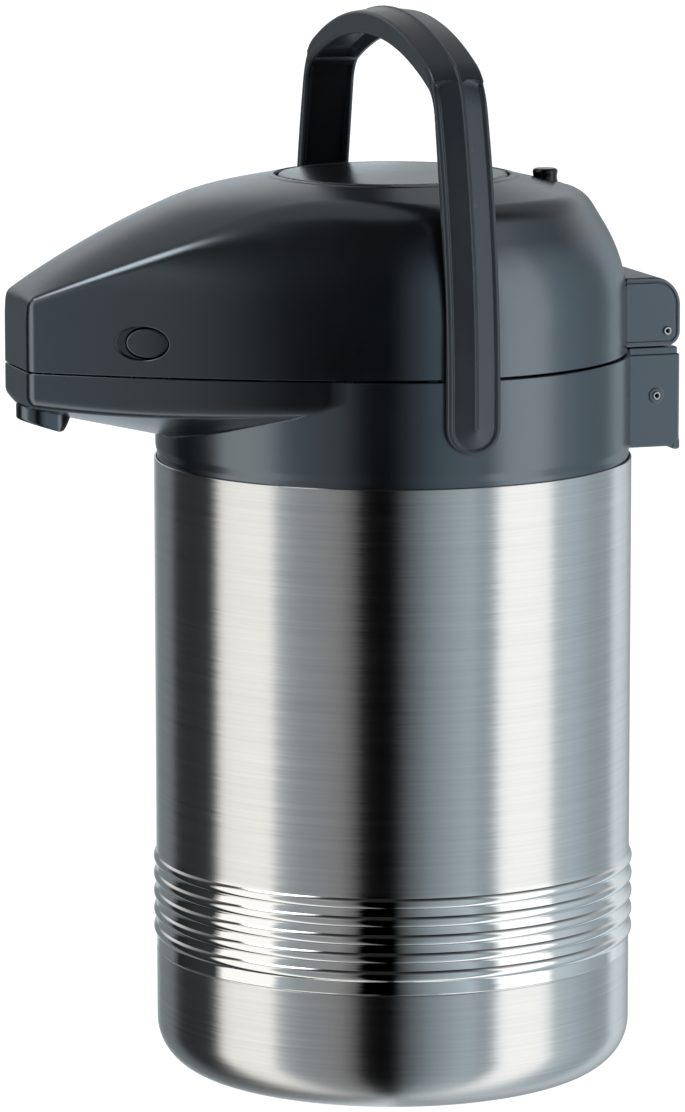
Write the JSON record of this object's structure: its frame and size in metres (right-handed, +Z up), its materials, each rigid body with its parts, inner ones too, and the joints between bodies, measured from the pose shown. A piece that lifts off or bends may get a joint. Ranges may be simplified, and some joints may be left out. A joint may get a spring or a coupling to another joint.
{
  "type": "thermal airpot",
  "caption": "Pump coffee airpot: steel vacuum jug, plastic collar, hinged lid with a long pouring beak and pump button, and a swinging bail handle.",
  "frame": {"origin": "centre of the base's resting face, on the axis of the steel casing", "axes": "+Z up along the casing's axis, -Y towards the pouring beak, +Y towards the lid hinge, X across the handle"},
  "size_m": [0.1772, 0.2327, 0.37],
  "materials": {
    "brushed_steel": "brushed round the body, with polished rolled ribs",
    "liner_steel": "satin",
    "tube_steel": "drawn",
    "pin_steel": "bright",
    "black_plastic": "satin",
    "gloss_black": "gloss",
    "rubber": "matte",
    "silicone": "matte translucent white"
  },
  "bodies": {
    "jug": {"outer_casing": "brushed_steel", "base_cap": "black_plastic", "base_pad": "rubber", "liner_cushion": "rubber", "liner_jacket": "liner_steel", "liner_vessel": "liner_steel", "neck_gasket": "silicone", "collar": "black_plastic", "neck_insert": "black_plastic", "riser_tube": "tube_steel", "spout_tube": "tube_steel", "nozzle": "black_plastic", "hinge_bracket": "black_plastic", "bracket_pin": "pin_steel", "hinge_pin": "pin_steel", "handle_studs": "pin_steel"},
    "lid": {"lid_cover": "black_plastic", "lid_hinge_block": "black_plastic", "hinge_screws": "pin_steel", "lid_base": "black_plastic", "lid_screws": "pin_steel", "air_seal": "silicone", "air_valve": "silicone", "bellows": "rubber", "pump_spring": "pin_steel", "release_spring_left": "pin_steel", "release_spring_right": "pin_steel"},
    "pump": {"pump_button": "black_plastic"},
    "lock": {"lock_slider": "gloss_black"},
    "release_left": {"release_button_left": "black_plastic"},
    "release_right": {"release_button_right": "black_plastic"},
    "handle": {"handle": "black_plastic"}
  },
  "joints": [
    {"name": "lid_hinge", "type": "hinge", "parent": "jug", "child": "lid", "pos_m": [0, 0.0935, 0.257], "axis": [-1, 0, 0], "range_deg": [0, 8]},
    {"name": "pump_press", "type": "slide", "parent": "lid", "child": "pump", "axis": [0, 0, -1], "range_m": [0, 0.025], "stiffness_N_per_m": 160, "springref_m": -0.02, "deforming": ["bellows", "pump_spring"]},
    {"name": "lock_slide", "type": "slide", "parent": "lid", "child": "lock", "axis": [0, 1, 0], "range_m": [-0.0044, 0.0032]},
    {"name": "release_press_left", "type": "slide", "parent": "lid", "child": "release_left", "axis": [0.859, 0.512, 0], "range_m": [0, 0.0025], "stiffness_N_per_m": 400, "springref_m": -0.002, "deforming": ["release_spring_left"]},
    {"name": "release_press_right", "type": "slide", "parent": "lid", "child": "release_right", "axis": [-0.859, 0.512, 0], "range_m": [0, 0.0025], "stiffness_N_per_m": 400, "springref_m": -0.002, "deforming": ["release_spring_right"]},
    {"name": "handle_swing", "type": "hinge", "parent": "jug", "child": "handle", "pos_m": [0, 0, 0.236], "axis": [-1, 0, 0], "range_deg": [-57, 95]}
  ]
}
